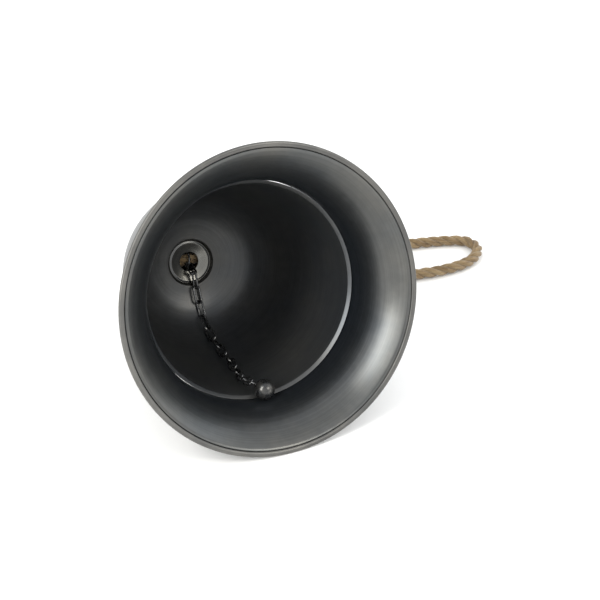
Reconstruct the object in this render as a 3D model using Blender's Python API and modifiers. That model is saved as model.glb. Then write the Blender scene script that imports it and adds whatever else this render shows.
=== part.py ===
"""Temple bell: a flared sheet-metal bell lying on its side, with a chain clapper and a jute hanging loop.

Units are metres, +Z is up and the floor is z = 0. Each piece is its own closed solid in its own object.
The bell's own axes hang on the empty "bell_axes": local +Z runs from the mouth to the crown, local +Y points at the
line of the wall that lies lowest, and local X is world X. Stations along the bell are called d and radii r.
"""

import math

import bmesh
import bpy
from mathutils import Matrix, Vector

MM = 0.001

# ---------------------------------------------------------------- driving dimensions, millimetres
STEPS = 40                      # facets round every turned shell
MOUTH_R = 90.0                  # outer radius of the rim
RIM_WIDTH = 2.6                 # radial width of the rim ring
RIM_DEPTH = 3.0                 # its depth along the bell's axis
SHEET = 1.6                     # skirt sheet
DOME_WALL = 2.0                 # dome sheet
GAP = 0.3                       # clearance between pieces that touch
NECK_R = 65.2                   # inside radius of the skirt where it meets the dome
NECK_D = 36.0                   # depth of that meeting line behind the mouth
SLEEVE = 8.0                    # how far the skirt's neck runs on over the dome
FLARE_POWER = 2.2               # how quickly the skirt opens towards the rim
DOME_EDGE_BEVEL = 2.0           # bevel on the dome's front edge
# inside of the dome: (station, radius), from the front edge to the shoulder of the crown
DOME_INSIDE = [(38.5, 62.9), (60.0, 62.2), (80.0, 60.2), (98.0, 57.0), (113.0, 52.8), (125.0, 47.6),
               (134.0, 40.8), (139.5, 32.0), (142.3, 23.0), (143.6, 15.4)]
GROOVE_R = 13.9                 # pressed groove round the crown cup
GROOVE_DEPTH = 1.9
RIDGE_R = 12.6                  # low ridge between the groove and the dished cup
RIDGE_DEPTH = 1.5
CUP_R = 11.6                    # dished cup, measured on the outside of the crown
CUP_DEPTH = 3.6
CROWN_HOLE_R = 6.3
KNOB_BASE_R = 13.2
KNOB_R = 11.4
KNOB_CAVITY_R = 7.6
KNOB_HEIGHT = 20.5
ROPE_D = 7.6                    # jute rope
ROPE_AXIS_ABOVE_CUP = 5.5       # rope's centre line above the outside of the cup's floor
ROPE_HOLE_R = 4.2
WIRE = 1.4                      # chain wire
RING_INNER_R = 4.9              # ring that the chain hangs from, round the rope
RING_SAG = 0.8                  # ring's centre below the rope's centre
RING_LEAN = 18.0                # degrees the ring leans towards the low side
LINK_W = 4.6                    # across a link, wire centre to wire centre
LINK_PLAY = 0.30                # clearance where one link bears on the next
LINKS = 14
SHARP_JOINT = 1                 # the chain turns hardest between this link and the next, round this link's end wire
RING_SPIN = 75.0                # degrees each piece is turned about the chain's line; 0 is flat on the wall
FIRST_SPINS = [-8.0, 78.0, -20.0, 58.0, -38.0]      # the rest alternate at 45
CHAIN_OFF_WALL = 2.85           # chain's centre line above the wall that it lies on
BALL_R = 6.2
BALL_X = -1.6                   # ball's place across the bell
EYE_DIR = (-0.30, 0.92, -0.20)    # from the ball to its eye: across, along d, along r
EYE_R = 2.7                     # clapper eye, to the wire's centre
EYE_FROM_BALL = 10.6            # eye's centre from the ball's centre
SHANK_R = 1.0
WHIP_R = 5.6                    # outside of the whipping on the rope's joint
WHIP_LEN = 24.0


# ---------------------------------------------------------------- scene
for stale in list(bpy.data.objects):
    bpy.data.objects.remove(stale, do_unlink=True)

piece_coll = bpy.data.collections.new("temple_bell")
cutter_coll = bpy.data.collections.new("cutters")
bpy.context.scene.collection.children.link(piece_coll)
bpy.context.scene.collection.children.link(cutter_coll)


def material(name, colour, metallic, roughness):
    mat = bpy.data.materials.new(name)
    mat.use_nodes = True
    bsdf = mat.node_tree.nodes["Principled BSDF"]
    bsdf.inputs["Base Color"].default_value = (*colour, 1.0)
    bsdf.inputs["Metallic"].default_value = metallic
    bsdf.inputs["Roughness"].default_value = roughness
    return mat


BLACK_METAL = material("blackened_metal", (0.045, 0.046, 0.048), 0.9, 0.38)
BLACK_RIM = material("blackened_rim", (0.060, 0.060, 0.060), 0.9, 0.34)
CHAIN_BLACK = material("chain_black", (0.020, 0.020, 0.021), 0.8, 0.35)
BALL_BLACK = material("ball_black", (0.015, 0.015, 0.016), 0.6, 0.16)
JUTE = material("jute", (0.36, 0.27, 0.16), 0.0, 0.9)


def link_piece(obj, mat, cutter=False):
    for coll in list(obj.users_collection):
        coll.objects.unlink(obj)
    (cutter_coll if cutter else piece_coll).objects.link(obj)
    if cutter:
        obj.hide_render = True
        obj.display_type = 'WIRE'
    else:
        obj.data.materials.clear()
        obj.data.materials.append(mat)
    return obj


# ---------------------------------------------------------------- profile helpers
def smooth(points, per=5):
    """A Catmull-Rom curve through the stations."""
    out = []
    n = len(points)
    for i in range(n - 1):
        p0 = points[max(i - 1, 0)]
        p1, p2 = points[i], points[i + 1]
        p3 = points[min(i + 2, n - 1)]
        for k in range(per):
            t = k / per
            out.append(tuple(
                0.5 * (2 * p1[c] + (p2[c] - p0[c]) * t + (2 * p0[c] - 5 * p1[c] + 4 * p2[c] - p3[c]) * t * t
                       + (3 * p1[c] - p0[c] - 3 * p2[c] + p3[c]) * t ** 3) for c in (0, 1)))
    out.append(points[-1])
    return out


def offset(points, dist):
    """The curve moved sideways, away from the bell's inside."""
    out = []
    for i, (d, r) in enumerate(points):
        a = points[max(i - 1, 0)]
        b = points[min(i + 1, len(points) - 1)]
        td, tr = b[0] - a[0], b[1] - a[1]
        size = math.hypot(td, tr)
        out.append((d - tr / size * dist, r + td / size * dist))
    return out


def at_station(points, d):
    """Radius of a curve at station d."""
    for a, b in zip(points, points[1:]):
        if min(a[0], b[0]) <= d <= max(a[0], b[0]) and a[0] != b[0]:
            return a[1] + (b[1] - a[1]) * (d - a[0]) / (b[0] - a[0])
    return points[-1][1]


# ---------------------------------------------------------------- profiles, as (station, radius)
# skirt: straight sleeve over the dome, then a trumpet out to the rim
lip_r = MOUTH_R - RIM_WIDTH - GAP
FLARE_N = 11
skirt_in = [(NECK_D * (1 - k / FLARE_N), NECK_R + (lip_r - SHEET * 0.55 - NECK_R) * (k / FLARE_N) ** FLARE_POWER)
            for k in range(FLARE_N + 1)]
skirt_in[-1] = (0.6, skirt_in[-1][1])
skirt_out = offset(skirt_in[::-1], SHEET)[::-1]
skirt_out[-1] = (max(skirt_out[-1][0], 1.1), lip_r)
skirt_profile = ([(NECK_D + SLEEVE, NECK_R + SHEET)] + skirt_out
                 + skirt_in[::-1] + [(NECK_D + SLEEVE, NECK_R)])

# dome: side wall, rounded shoulder, groove and dished cup with the crown hole
dome_side = smooth(DOME_INSIDE, 2)
crown_d = DOME_INSIDE[-1][0]
cup = [(crown_d + RIDGE_DEPTH + (CUP_DEPTH + 0.1 - RIDGE_DEPTH) * (1.15 * t - 0.15 * t * t),
        RIDGE_R + (CROWN_HOLE_R - RIDGE_R) * t) for t in (0.0, 0.25, 0.5, 0.75, 1.0)]
dome_in = dome_side + [(crown_d + GROOVE_DEPTH, GROOVE_R)] + cup
cup_floor = cup[-1][0]
side_out = offset(dome_side, DOME_WALL)
crown_out = [(crown_d + GROOVE_DEPTH + DOME_WALL * 0.9, KNOB_BASE_R + 0.6),
             (crown_d + CUP_DEPTH * 0.5 + DOME_WALL, CUP_R - 0.5),
             (cup_floor + DOME_WALL, CUP_R - 3.2),
             (cup_floor + DOME_WALL, CROWN_HOLE_R)]
front = DOME_INSIDE[0][0] - DOME_EDGE_BEVEL - 0.4
side_out = [(front, DOME_INSIDE[0][1] + DOME_WALL - 0.1)] + [p for p in side_out if p[0] > front + 1.0]
dome_profile = (crown_out[::-1] + side_out[::-1]
                + [(front + 1.9, DOME_INSIDE[0][1] + 0.02)]
                + dome_in)

# rim ring: a half-round bead with a narrow flat on the mouth plane
rim_profile = [(RIM_DEPTH, MOUTH_R - 1.3), (RIM_DEPTH * 0.75, MOUTH_R - 0.35), (RIM_DEPTH * 0.45, MOUTH_R),
               (RIM_DEPTH * 0.18, MOUTH_R - 0.2), (0.0, MOUTH_R - 0.75), (0.0, MOUTH_R - 1.95),
               (RIM_DEPTH * 0.15, MOUTH_R - 2.45), (RIM_DEPTH * 0.4, MOUTH_R - RIM_WIDTH),
               (RIM_DEPTH * 0.8, MOUTH_R - 2.3)]

# knob: hollow, open underneath to the crown hole
knob_base = cup_floor + DOME_WALL + GAP
knob_top = knob_base + KNOB_HEIGHT
rope_d = cup_floor + DOME_WALL + ROPE_AXIS_ABOVE_CUP
knob_profile = [(knob_top, 0.0), (knob_top - 0.5, 4.0), (knob_top - 2.4, 7.8), (knob_top - 5.2, 10.2),
                (knob_top - 8.5, KNOB_R), (knob_base + 4.4, KNOB_R), (knob_base + 3.2, KNOB_R + 0.4),
                (knob_base + 2.6, KNOB_BASE_R), (knob_base + 0.6, KNOB_BASE_R), (knob_base, KNOB_BASE_R - 0.6),
                (knob_base, KNOB_CAVITY_R), (knob_base + 11.0, KNOB_CAVITY_R), (knob_base + 14.6, 5.4),
                (knob_base + 16.2, 0.0)]


# ---------------------------------------------------------------- how the bell lies
# the rim and the dome's belly both touch the floor, each on the flat of a facet
flat = math.cos(math.pi / STEPS)
rim_low = max(rim_profile, key=lambda p: p[1])
SLOPE = min((rim_low[1] - r) * flat / (d - rim_low[0]) for d, r in side_out if d > 60)
ALPHA = math.atan(SLOPE)
FLOOR = max(d * math.sin(ALPHA) + r * flat * math.cos(ALPHA)
            for d, r in rim_profile + side_out + skirt_profile + knob_profile)
spans = [d * math.cos(ALPHA) + s * r * flat * math.sin(ALPHA)
         for d, r in rim_profile + knob_profile + side_out for s in (-1, 1)]
SHIFT = -(min(spans) + max(spans)) / 2

axes = bpy.data.objects.new("bell_axes", None)
piece_coll.objects.link(axes)
axes.location = (0.0, SHIFT * MM, FLOOR * MM)
axes.rotation_euler = (-(math.pi / 2 + ALPHA), 0.0, 0.0)
FRAME = Matrix.Translation(axes.location) @ axes.rotation_euler.to_matrix().to_4x4()


def world(d, r, x=0.0):
    """World point of station d, distance r towards the lowest line, and x."""
    return FRAME @ Vector((x * MM, r * MM, d * MM))


# ---------------------------------------------------------------- turned pieces
def turned(name, profile, mat, closed=True, cutter=False):
    mesh = bpy.data.meshes.new(name)
    n = len(profile)
    edges = [(i, i + 1) for i in range(n - 1)] + ([(n - 1, 0)] if closed else [])
    mesh.from_pydata([(r * MM, 0.0, d * MM) for d, r in profile], edges, [])
    obj = bpy.data.objects.new(name, mesh)
    link_piece(obj, mat, cutter)
    obj.parent = axes
    obj.rotation_euler = (0.0, 0.0, math.pi / STEPS)
    screw = obj.modifiers.new("turned", 'SCREW')
    screw.axis = 'Z'
    screw.angle = 2 * math.pi
    screw.steps = STEPS
    screw.render_steps = STEPS
    screw.use_merge_vertices = True
    screw.merge_threshold = 0.00001
    screw.use_smooth_shade = True
    return obj


turned("dome_shell", dome_profile, BLACK_METAL)
turned("flared_skirt", skirt_profile, BLACK_METAL)
turned("rim_ring", rim_profile, BLACK_RIM)
knob = turned("crown_knob", knob_profile, BLACK_METAL, closed=False)

# cross hole for the rope
bpy.ops.mesh.primitive_cylinder_add(vertices=24, radius=ROPE_HOLE_R * MM, depth=KNOB_BASE_R * 3 * MM)
rope_bore = bpy.context.object
rope_bore.name = "rope_bore"
link_piece(rope_bore, None, cutter=True)
rope_bore.matrix_world = Matrix.Translation(world(rope_d, 0.0)) @ Matrix.Rotation(math.pi / 2, 4, 'Y')
cut = knob.modifiers.new("rope_bore", 'BOOLEAN')
cut.operation = 'DIFFERENCE'
cut.solver = 'EXACT'
cut.object = rope_bore


# ---------------------------------------------------------------- tubes
def tube(name, points, radius, mat, cyclic=False, resolution=2, cutter=False):
    curve = bpy.data.curves.new(name, 'CURVE')
    curve.dimensions = '3D'
    curve.bevel_depth = radius
    curve.bevel_resolution = resolution
    curve.use_fill_caps = not cyclic
    spline = curve.splines.new('POLY')
    spline.points.add(len(points) - 1)
    for p, co in zip(spline.points, points):
        p.co = (*co, 1.0)
    spline.use_cyclic_u = cyclic
    obj = bpy.data.objects.new(name, curve)
    return link_piece(obj, mat, cutter)


def frame_at(origin, along, spin):
    """Matrix with +Z along a direction and X as near world X as it can be, turned about Z by spin."""
    z = Vector(along).normalized()
    x = (Vector((1.0, 0.0, 0.0)) - z * z.x).normalized()
    y = z.cross(x).normalized()
    m = Matrix((x, y, z)).transposed().to_4x4()
    return Matrix.Translation(origin) @ m @ Matrix.Rotation(spin, 4, 'Z')


def oval(half_len, radius, arc=7):
    """Stadium centre line in the local XZ plane."""
    pts = []
    for end in (1, -1):
        for k in range(arc + 1):
            t = math.pi * k / arc
            pts.append((end * radius * math.cos(t), 0.0, end * (half_len + radius * math.sin(t))))
    return pts


# ---------------------------------------------------------------- where the chain lies
# the clapper ball rests in the corner between the skirt and the dome's front edge
skirt_curve = skirt_in[::-1]
edge_d, edge_r = front + 0.6, DOME_INSIDE[0][1] + 0.6


def ball_radius_at(d):
    """Largest radius of the ball's centre at station d that keeps it clear of the skirt."""
    best = 1e9
    for sd, sr in [(q / 10.0, at_station(skirt_curve, q / 10.0)) for q in range(10, int(NECK_D * 10))]:
        reach = BALL_R + 0.35
        if abs(sd - d) < reach:
            best = min(best, sr - math.sqrt(reach * reach - (sd - d) ** 2))
    return best


ball_d = 20.0
while math.hypot(edge_d - (ball_d + 0.05), edge_r - ball_radius_at(ball_d + 0.05)) > BALL_R + 0.4:
    ball_d += 0.05
ball_r = ball_radius_at(ball_d)

# joints are (d, r, x); the ring leans to the low side, and the clapper's eye points back and across
lean = math.radians(RING_LEAN)
ring_reach = RING_SAG + RING_INNER_R + WIRE / 2 - (WIRE + LINK_PLAY) / 2
top_joint = (rope_d - ring_reach * math.cos(lean), ring_reach * math.sin(lean), 0.0)
eye_reach = EYE_FROM_BALL + EYE_R - (WIRE + LINK_PLAY) / 2
eye_unit = Vector(EYE_DIR).normalized()
last_joint = (ball_d + eye_reach * eye_unit.y, ball_r + eye_reach * eye_unit.z, BALL_X + eye_reach * eye_unit.x)

# path from the ring through the crown hole, down the crown, round the shoulder and along the side wall
wall_path = [p for p in offset(dome_side, -CHAIN_OFF_WALL)[::-1] if p[1] > 15.0 and p[0] > last_joint[0] + 15.0]
flat_path = [top_joint[:2]] + smooth([(crown_d - 3.2, 6.8), (crown_d - 3.4, 12.4)] + wall_path[::2] + [last_joint[:2]],
                                     12)
SWERVE_FROM, SWERVE_TO = 96.0, 50.0     # the chain leaves the lowest line between these, towards the eye


def ease(t):
    t = min(max(t, 0.0), 1.0)
    return t * t * (3 - 2 * t)


path = [(d, r, last_joint[2] * ease((SWERVE_FROM - d) / (SWERVE_FROM - SWERVE_TO))) for d, r in flat_path]


def march(pitch, count):
    """Joint points along the path; the two links at the sharp joint are a wire's centre longer and shorter."""
    pts = [path[0]]
    i = 0
    for k in range(1, count + 1):
        step = pitch + {SHARP_JOINT: 1, SHARP_JOINT + 1: -1}.get(k, 0) * (WIRE + LINK_PLAY) / 2
        here = pts[-1]
        while i < len(path) - 1 and math.dist(path[i + 1], here) < step:
            i += 1
        if i >= len(path) - 1:
            return pts
        lo, hi = 0.0, 1.0
        for _ in range(40):
            mid = (lo + hi) / 2
            q = tuple(u + (v - u) * mid for u, v in zip(path[i], path[i + 1]))
            if math.dist(q, here) < step:
                lo = mid
            else:
                hi = mid
        pts.append(tuple(u + (v - u) * lo for u, v in zip(path[i], path[i + 1])))
    return pts


lo, hi = 8.0, 11.0
for _ in range(50):
    PITCH = (lo + hi) / 2
    joints = march(PITCH, LINKS - 1)
    if len(joints) < LINKS or math.dist(joints[-1], last_joint) < PITCH:
        hi = PITCH
    else:
        lo = PITCH
PITCH = lo
joints = march(PITCH, LINKS - 1) + [last_joint]

# ---------------------------------------------------------------- ring, links and clapper
# every moving piece hangs on an empty that stands on its hinge, and each empty on the one before it
hinges = []


def hinge(name, at):
    """An empty on the hinge of one moving piece; turning it about world X swings all that hangs below."""
    empty = bpy.data.objects.new(name, None)
    empty.empty_display_size = 0.004
    piece_coll.objects.link(empty)
    if hinges:
        empty.parent = hinges[-1][0]
        empty.location = at - hinges[-1][1]
    else:
        empty.location = at
    hinges.append((empty, at))
    return empty


def hang(obj, matrix):
    """Puts a piece at a world matrix, under the hinge that was made last."""
    obj.parent = hinges[-1][0]
    obj.matrix_basis = Matrix.Translation(-hinges[-1][1]) @ matrix


half = (PITCH + WIRE + LINK_PLAY) / 2 - LINK_W / 2
ring_pts = [((RING_INNER_R + WIRE / 2) * math.cos(2 * math.pi * k / 24), 0.0,
             (RING_INNER_R + WIRE / 2) * math.sin(2 * math.pi * k / 24)) for k in range(24)]
ring = tube("hanger_ring", [tuple(c * MM for c in p) for p in ring_pts], WIRE / 2 * MM, CHAIN_BLACK, cyclic=True)
rope_centre = world(rope_d, 0.0)
ring_down = (world(*top_joint) - rope_centre).normalized()
hinge("ring_hinge", rope_centre)
hang(ring, frame_at(rope_centre + ring_down * RING_SAG * MM, ring_down, math.radians(RING_SPIN)))

spins = [math.radians(FIRST_SPINS[i] if i < len(FIRST_SPINS) else (45.0 if i % 2 else -45.0))
         for i in range(LINKS + 1)]
for i in range(LINKS):
    a, b = joints[i], joints[i + 1]
    wa, wb = world(*a), world(*b)
    name = f"link_{i + 1:02d}"
    link = tube(name, [tuple(c * MM for c in p) for p in oval(half, LINK_W / 2)], WIRE / 2 * MM, CHAIN_BLACK,
                cyclic=True)
    # a link reaches past each joint point by half the wire and play, but none or all of it at the sharp joint
    before = (WIRE + LINK_PLAY) * (1.0 if i == SHARP_JOINT else 0.5) * MM
    along = (wb - wa).normalized()
    centre = wa + along * (half + LINK_W / 2) * MM - along * before
    hinge(name + "_hinge", wa)
    hang(link, frame_at(centre, along, spins[i]))

# clapper: ball with a blind hole, eye with a shank that stands in it
ball_centre = world(ball_d, ball_r, BALL_X)
clapper_axes = frame_at(ball_centre, world(*last_joint) - ball_centre, -spins[LINKS])
hinge("clapper_hinge", world(*last_joint))

bpy.ops.mesh.primitive_uv_sphere_add(segments=24, ring_count=16, radius=BALL_R * MM)
ball = bpy.context.object
ball.name = "clapper_ball"
link_piece(ball, BALL_BLACK)
ball.data.shade_smooth()
hang(ball, clapper_axes)
bpy.ops.mesh.primitive_cylinder_add(vertices=16, radius=(SHANK_R + GAP) * MM, depth=8.0 * MM)
shank_hole = bpy.context.object
shank_hole.name = "shank_hole"
link_piece(shank_hole, None, cutter=True)
shank_hole.matrix_world = clapper_axes @ Matrix.Translation((0, 0, (BALL_R - 1.0) * MM))
drill = ball.modifiers.new("shank_hole", 'BOOLEAN')
drill.operation = 'DIFFERENCE'
drill.solver = 'EXACT'
drill.object = shank_hole

bpy.ops.mesh.primitive_torus_add(major_radius=EYE_R * MM, minor_radius=WIRE / 2 * MM, major_segments=24,
                                 minor_segments=10)
eye = bpy.context.object
eye.name = "clapper_eye"
link_piece(eye, CHAIN_BLACK)
eye.data.shade_smooth()
hang(eye, clapper_axes @ Matrix.Translation((0, 0, EYE_FROM_BALL * MM)) @ Matrix.Rotation(math.pi / 2, 4, 'X'))
shank_top = EYE_FROM_BALL - EYE_R
shank_foot = BALL_R - 4.2
bpy.ops.mesh.primitive_cylinder_add(vertices=16, radius=SHANK_R * MM, depth=(shank_top - shank_foot) * MM)
shank = bpy.context.object
shank.name = "eye_shank"
link_piece(shank, None, cutter=True)
shank.matrix_world = clapper_axes @ Matrix.Translation((0, 0, (shank_top + shank_foot) / 2 * MM))
join = eye.modifiers.new("shank", 'BOOLEAN')
join.operation = 'UNION'
join.solver = 'EXACT'
join.object = shank

# ---------------------------------------------------------------- rope
knob_at = world(rope_d, 0.0)
FLOOR_Z = ROPE_D / 2 + 0.4


def smooth3(points, per=6):
    out = []
    n = len(points)
    for i in range(n - 1):
        p0 = points[max(i - 1, 0)]
        p1, p2 = points[i], points[i + 1]
        p3 = points[min(i + 2, n - 1)]
        for k in range(per):
            t = k / per
            out.append(tuple(
                0.5 * (2 * p1[c] + (p2[c] - p0[c]) * t + (2 * p0[c] - 5 * p1[c] + 4 * p2[c] - p3[c]) * t * t
                       + (3 * p1[c] - p0[c] - 3 * p2[c] + p3[c]) * t ** 3) for c in (0, 1, 2)))
    out.append(points[-1])
    return out


KX, KY, KZ = (c / MM for c in knob_at)
JOINT_X, JOINT_Y = KX + 44.0, KY + 36.0     # middle of the whipping, where the rope's two ends meet
JOINT_Z = 7.6
# the loop: off the whipping, round behind the knob, through it, out to the right, round the bight and back
ROUTE = [(JOINT_X - 15, JOINT_Y + 1.4, JOINT_Z + 3.2), (KX + 12, KY + 40, 15.5), (KX - 6, KY + 39, 23.5), (KX - 22, KY + 32, 31.5),
         (KX - 32.5, KY + 18, 37.5), (KX - 29, KY + 4.5, KZ), (KX - 16, KY, KZ), (KX, KY, KZ), (KX + 16, KY, KZ),
         (KX + 32, KY - 0.8, KZ - 3.0), (KX + 56, KY - 4, KZ - 12.5), (KX + 84, KY - 9, KZ - 25),
         (KX + 112, KY - 14.5, FLOOR_Z + 3.0), (KX + 138, KY - 19.5, FLOOR_Z), (KX + 160, KY - 24.5, FLOOR_Z),
         (KX + 183, KY - 27, FLOOR_Z), (KX + 205, KY - 23, FLOOR_Z), (KX + 218.5, KY - 10, FLOOR_Z),
         (KX + 217, KY + 3.5, FLOOR_Z), (KX + 202, KY + 11, FLOOR_Z), (KX + 180, KY + 16.5, FLOOR_Z),
         (KX + 150, KY + 22, FLOOR_Z), (KX + 118, KY + 28, FLOOR_Z), (KX + 88, KY + 32.5, FLOOR_Z),
         (JOINT_X + 15, JOINT_Y - 1.0, JOINT_Z - 1.6)]
ends = Vector(ROUTE[0]) - Vector(ROUTE[-1])
lie = ends.normalized()
middle = Vector((JOINT_X, JOINT_Y, JOINT_Z))
start = middle + lie * 0.25
rope_line = ([tuple(start), tuple(middle + lie * 7.0)] + smooth3([tuple(middle + lie * 14.0)] + ROUTE[1:-1]
             + [tuple(middle - lie * 14.0)], 3) + [tuple(middle - lie * 7.0), tuple(middle - lie * 0.25)])
ROPE_LENGTH = sum(math.dist(a, b) for a, b in zip(rope_line, rope_line[1:]))
tube("hanging_rope", [tuple(c * MM for c in p) for p in rope_line], ROPE_D / 2 * MM, JUTE, resolution=3)

# twine whipping over the rope's butted ends
whip_in, whip_half = ROPE_D / 2 + GAP, WHIP_LEN / 2
whip_profile = [(whip_half, whip_in), (whip_half, WHIP_R - 0.4), (whip_half - 0.6, WHIP_R),
                (-whip_half + 0.6, WHIP_R), (-whip_half, WHIP_R - 0.4), (-whip_half, whip_in)]
whip = turned("rope_whipping", whip_profile, JUTE)
whip.parent = None
whip.modifiers["turned"].steps = 24
whip.modifiers["turned"].render_steps = 24
whip.matrix_world = frame_at(middle * MM, lie, 0.0)
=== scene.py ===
import math
import random

import bmesh
import bpy
import numpy as np
from mathutils import Matrix, Vector

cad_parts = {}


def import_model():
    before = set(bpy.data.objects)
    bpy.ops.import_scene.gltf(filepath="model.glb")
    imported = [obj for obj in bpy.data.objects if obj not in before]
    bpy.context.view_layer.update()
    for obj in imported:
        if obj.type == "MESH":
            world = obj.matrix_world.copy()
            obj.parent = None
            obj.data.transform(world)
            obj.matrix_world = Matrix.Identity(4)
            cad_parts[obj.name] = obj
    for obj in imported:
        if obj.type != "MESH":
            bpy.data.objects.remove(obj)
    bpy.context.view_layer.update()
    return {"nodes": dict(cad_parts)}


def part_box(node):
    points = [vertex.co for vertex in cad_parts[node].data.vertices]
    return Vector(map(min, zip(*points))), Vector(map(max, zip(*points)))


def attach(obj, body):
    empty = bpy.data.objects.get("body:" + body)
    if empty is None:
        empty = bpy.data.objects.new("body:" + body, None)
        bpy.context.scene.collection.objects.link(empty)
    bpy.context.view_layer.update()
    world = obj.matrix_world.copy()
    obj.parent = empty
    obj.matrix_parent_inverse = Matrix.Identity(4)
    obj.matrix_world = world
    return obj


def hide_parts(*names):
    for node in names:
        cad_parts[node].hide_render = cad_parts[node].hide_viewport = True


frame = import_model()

MM = 0.001
scene = bpy.context.scene
scene.view_settings.view_transform = 'Standard'
scene.view_settings.look = 'None'

# ---------------------------------------------------------------- camera: 84 mm lens, no shift
cam_data = bpy.data.cameras.new("camera")
cam_data.lens = 84.0
cam_data.sensor_width = 36.0
cam_data.sensor_fit = 'HORIZONTAL'
cam_data.clip_start, cam_data.clip_end = 0.05, 30.0
cam = bpy.data.objects.new("camera", cam_data)
scene.collection.objects.link(cam)
right, up, ahead = Vector((0.909736, -0.415188, 0.0)), Vector((0.209177, 0.458336, 0.863813)), Vector((0.358645, 0.785842, -0.503812))
cam.matrix_world = Matrix.Translation((-0.26681, -0.68660, 0.48029)) @ Matrix((right, up, -ahead)).transposed().to_4x4()
scene.camera = cam

# ---------------------------------------------------------------- the part's own dimensions, millimetres
STEPS = 40
MOUTH_R, RIM_WIDTH, RIM_DEPTH, SHEET, DOME_WALL, GAP = 90.0, 2.6, 3.0, 1.6, 2.0, 0.3
NECK_R, NECK_D, SLEEVE, FLARE_POWER, DOME_EDGE_BEVEL = 65.2, 36.0, 8.0, 2.2, 2.0
DOME_INSIDE = [(38.5, 62.9), (60.0, 62.2), (80.0, 60.2), (98.0, 57.0), (113.0, 52.8), (125.0, 47.6),
               (134.0, 40.8), (139.5, 32.0), (142.3, 23.0), (143.6, 15.4)]
GROOVE_R, GROOVE_DEPTH, RIDGE_R, RIDGE_DEPTH, CUP_R, CUP_DEPTH, CROWN_HOLE_R = 13.9, 1.9, 12.6, 1.5, 11.6, 3.6, 6.3
KNOB_BASE_R, KNOB_R, KNOB_CAVITY_R, KNOB_HEIGHT = 13.2, 11.4, 7.6, 20.5
ROPE_D, ROPE_AXIS_ABOVE_CUP, ROPE_HOLE_R = 7.6, 5.5, 4.2
WIRE, RING_INNER_R, LINK_W = 1.4, 4.9, 4.6
BALL_R, EYE_R, SHANK_R = 6.2, 2.7, 1.0
WHIP_R, WHIP_LEN = 5.6, 24.0
FLAT = math.cos(math.pi / STEPS)


def smooth(points, per=5):
    out = []
    n = len(points)
    dims = range(len(points[0]))
    for i in range(n - 1):
        p0, p1, p2, p3 = points[max(i - 1, 0)], points[i], points[i + 1], points[min(i + 2, n - 1)]
        for k in range(per):
            t = k / per
            out.append(tuple(0.5 * (2 * p1[c] + (p2[c] - p0[c]) * t + (2 * p0[c] - 5 * p1[c] + 4 * p2[c] - p3[c]) * t * t
                                    + (3 * p1[c] - p0[c] - 3 * p2[c] + p3[c]) * t ** 3) for c in dims))
    out.append(points[-1])
    return out


def offset(points, dist):
    out = []
    for i, (d, r) in enumerate(points):
        a, b = points[max(i - 1, 0)], points[min(i + 1, len(points) - 1)]
        td, tr = b[0] - a[0], b[1] - a[1]
        size = math.hypot(td, tr)
        out.append((d - tr / size * dist, r + td / size * dist))
    return out


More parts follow.
